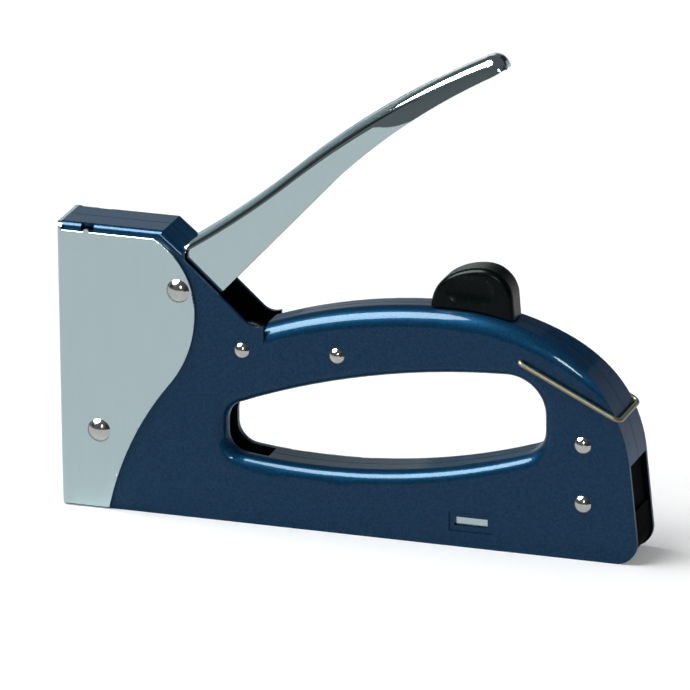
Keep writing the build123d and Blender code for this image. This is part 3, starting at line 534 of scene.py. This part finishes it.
def arm_outline(centre, reach):
    """Outline of an arm: from the blade around the hub, around the pawl's bore and back."""
    aim = math.degrees(math.atan2(reach.y, reach.x)) % 360.0
    swing = math.degrees(math.acos((LEVER_HUB_RADIUS - ARM_END_RADIUS) / reach.length))
    root, heading = lever_top_line()[0]
    down = Vector((math.sin(heading), -math.cos(heading)))
    foot = root + depth_below(root, down, lever_lower_edge()) * down
    start = math.degrees(math.atan2(root.y, root.x))
    outline = [foot, root]
    outline += ring_points(centre, LEVER_HUB_RADIUS, start, aim - swing, HUB_STEPS)
    outline += ring_points(reach, ARM_END_RADIUS, aim - swing, aim + swing, ARM_END_STEPS)
    outline += ring_points(centre, LEVER_HUB_RADIUS, aim + swing, 270.0 + LEVER_LOWER_ANGLE, HUB_STEPS)
    return outline


def make_lever_arms(pivot, pawl, half, material):
    """Two plates that run on from the blade's sides, around the pivot and forward to the pawl."""
    centre = Vector((0.0, 0.0))
    reach = Vector((pawl.x - pivot.x, pawl.z - pivot.z)) / MM
    loops = [arm_outline(centre, reach), bore_points(centre, PIVOT_BORE), bore_points(reach, PAWL_BORE)]
    shape = bmesh.new()
    for side in (-half, half - LEVER_SHEET):
        edges = []
        for loop in loops:
            corners = [shape.verts.new(pivot + MM * Vector((spot.x, side, spot.y))) for spot in loop]
            edges += [shape.edges.new(pair) for pair in zip(corners, corners[1:] + corners[:1])]
        plate = bmesh.ops.triangle_fill(shape, edges=edges, use_beauty=True)["geom"]
        plate = [item for item in plate if isinstance(item, bmesh.types.BMFace)]
        raised = bmesh.ops.extrude_face_region(shape, geom=plate, use_keep_orig=True)["geom"]
        raised = [item for item in raised if isinstance(item, bmesh.types.BMVert)]
        bmesh.ops.translate(shape, verts=raised, vec=(0.0, MM * LEVER_SHEET, 0.0))
    bmesh.ops.recalc_face_normals(shape, faces=shape.faces)
    mesh = bpy.data.meshes.new("lever_arms")
    shape.to_mesh(mesh)
    shape.free()
    return add_piece("lever_arms", mesh, material, "lever_body")


def add_piece(name, mesh, material, body):
    """New piece in the scene, with its finish, riding on a body."""
    piece = bpy.data.objects.new(name, mesh)
    bpy.context.scene.collection.objects.link(piece)
    mesh.materials.append(material)
    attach(piece, body)
    return piece


def make_lever(materials):
    """Blade and arms in place of the CAD lever, between the same joints and as wide."""
    places = {joint["name"]: joint.get("pos_m") for joint in frame["joints"]}
    pivot = Vector(places["lever_hinge"])
    pawl = Vector(places["pawl_hinge"])
    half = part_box("lever")[1].y / MM
    blade = make_lever_blade(pivot, half, materials["chrome_plate"])
    arms = make_lever_arms(pivot, pawl, half, materials["chrome_plate"])
    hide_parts("lever")
    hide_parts("lever")


def copy_node(name, materials):
    """Copy of a spring's node in spring wire, in the node's place."""
    mesh = frame["nodes"][name].data.copy()
    mesh.materials.clear()
    mesh.materials.append(materials["spring_wire"])
    piece = bpy.data.objects.new(name + "_wire", mesh)
    bpy.context.scene.collection.objects.link(piece)
    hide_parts(name)
    return piece


def make_springs(materials):
    """Copies of the three springs: two with their place baked into the mesh, one riding on the loader."""
    power = copy_node("power_spring", materials)
    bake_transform(power)
    returning = copy_node("lever_return_spring", materials)
    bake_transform(returning)
    pusher = copy_node("pusher_spring", materials)
    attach(pusher, "loader")
    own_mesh(pusher)


def add_sheet(name, corners, material):
    """Flat four-cornered sheet that belongs to the studio."""
    mesh = bpy.data.meshes.new(name)
    mesh.from_pydata(corners, [], [(0, 1, 2, 3)])
    mesh.materials.append(material)
    sheet = bpy.data.objects.new(name, mesh)
    bpy.context.scene.collection.objects.link(sheet)
    return sheet


def floor_paper():
    """Pale paper, whiter where it is seen or mirrored."""
    material, shader = new_material("floor_paper")
    value = noise(material, FLOOR_PATTERN)
    join(material, two_tone(material, value, FLOOR_DARK, FLOOR_LIGHT), shader.inputs["Base Color"])
    shader.inputs["Roughness"].default_value = FLOOR_ROUGH
    shader.inputs["Specular IOR Level"].default_value = 0.0
    shader.inputs["Emission Color"].default_value = (*WHITE, 1.0)
    path = add_node(material, "ShaderNodeLightPath")
    seen = number(material, "MAXIMUM", path.outputs["Is Camera Ray"], path.outputs["Is Glossy Ray"])
    seen = number(material, "MAXIMUM", seen, path.outputs["Is Transmission Ray"])
    join(material, number(material, "MULTIPLY", seen, FLOOR_GLOW), shader.inputs["Emission Strength"])
    return material


def make_floor():
    signs = ((-1, -1), (1, -1), (1, 1), (-1, 1))
    corners = [(across * FLOOR_REACH, along * FLOOR_REACH, 0.0) for across, along in signs]
    add_sheet("floor", corners, floor_paper())


def make_world():
    """Dim room with a pale glow low at the back."""
    world = bpy.data.worlds.new("studio")
    world.use_nodes = True
    bpy.context.scene.world = world
    background = world.node_tree.nodes["Background"]
    background.inputs["Color"].default_value = (*WORLD_COLOUR, 1.0)
    place = add_node(world, "ShaderNodeTexCoord")
    where = add_node(world, "ShaderNodeSeparateXYZ")
    join(world, place.outputs["Generated"], where.inputs["Vector"])
    height = number(world, "DIVIDE", where.outputs["Z"], HORIZON_HEIGHT)
    low = number(world, "MAXIMUM", number(world, "SUBTRACT", 1.0, height), 0.0)
    behind = number(world, "MULTIPLY", number(world, "ADD", where.outputs["Y"], 1.0), 0.5)
    glow = number(world, "MULTIPLY", number(world, "MULTIPLY", low, behind), HORIZON_LEVEL)
    join(world, number(world, "ADD", glow, WORLD_LEVEL), background.inputs["Strength"])


def add_key():
    """Large soft lamp from above and left, which isn't mirrored."""
    data = bpy.data.lights.new("key", "SUN")
    data.energy = KEY_LEVEL
    data.angle = math.radians(KEY_SPREAD)
    light = bpy.data.objects.new("key", data)
    bpy.context.scene.collection.objects.link(light)
    light.rotation_euler = (-Vector(KEY_FROM)).to_track_quat("-Z", "Y").to_euler()
    light.visible_glossy = False


def add_softbox(name, direction, size, power):
    """Soft lamp that shows only where it is mirrored."""
    data = bpy.data.lights.new(name, "AREA")
    data.shape = "ELLIPSE"
    data.size, data.size_y = size
    data.energy = power
    data.color = BOX_COLOUR
    box = bpy.data.objects.new(name, data)
    bpy.context.scene.collection.objects.link(box)
    box.visible_diffuse = False
    towards = Vector(direction).normalized()
    side = (Vector((1.0, 0.0, 0.0)) - towards.x * towards).normalized()
    up = towards.cross(side)
    turn = Matrix((side, up, towards)).transposed().to_4x4()
    box.matrix_world = Matrix.Translation(towards * BOX_DISTANCE) @ turn


def make_lights():
    add_key()
    for name, box in SOFTBOXES.items():
        add_softbox(name, *box)


def felt(name, tone):
    """Worn felt in one tone."""
    material, shader = new_material(name)
    value = noise(material, FELT_PATTERN)
    worn = tuple(FELT_WEAR * part for part in tone)
    join(material, two_tone(material, value, worn, tone), shader.inputs["Base Color"])
    shader.inputs["Roughness"].default_value = FELT_ROUGH
    return material


def add_card(name, near, far, heights, tone):
    """Upright card that shows only where it is mirrored."""
    low, high = heights
    corners = [(*near, low), (*far, low), (*far, high), (*near, high)]
    card = add_sheet(name, corners, felt(name + "_felt", tone))
    card.visible_camera = False
    card.visible_diffuse = False
    card.visible_shadow = False


def make_cards():
    for name, card in CARDS.items():
        add_card(name, *card)


def make_camera():
    """Camera at the photograph's angle, at a distance from its target."""
    azimuth = math.radians(CAMERA_AZIMUTH)
    elevation = math.radians(CAMERA_ELEVATION)
    roll = math.radians(CAMERA_ROLL)
    flat = math.cos(elevation)
    back = Vector((math.sin(azimuth) * flat, -math.cos(azimuth) * flat, math.sin(elevation)))
    level = Vector((math.cos(azimuth), math.sin(azimuth), 0.0))
    upright = back.cross(level)
    right = level * math.cos(roll) - upright * math.sin(roll)
    up = upright * math.cos(roll) + level * math.sin(roll)
    data = bpy.data.cameras.new("camera")
    data.sensor_width = SENSOR_MM
    data.lens = SENSOR_MM * FOCAL_PIXELS / IMAGE_SIDE
    data.clip_end = CAMERA_REACH
    camera = bpy.data.objects.new("camera", data)
    bpy.context.scene.collection.objects.link(camera)
    turn = Matrix((right, up, back)).transposed().to_4x4()
    camera.matrix_world = Matrix.Translation(Vector(CAMERA_TARGET) + back * CAMERA_DISTANCE) @ turn
    bpy.context.scene.camera = camera


materials = make_materials()
dress_nodes(materials)
make_lever(materials)
make_springs(materials)
make_floor()
make_world()
make_lights()
make_cards()
make_camera()
bpy.context.scene.view_settings.view_transform = "Standard"
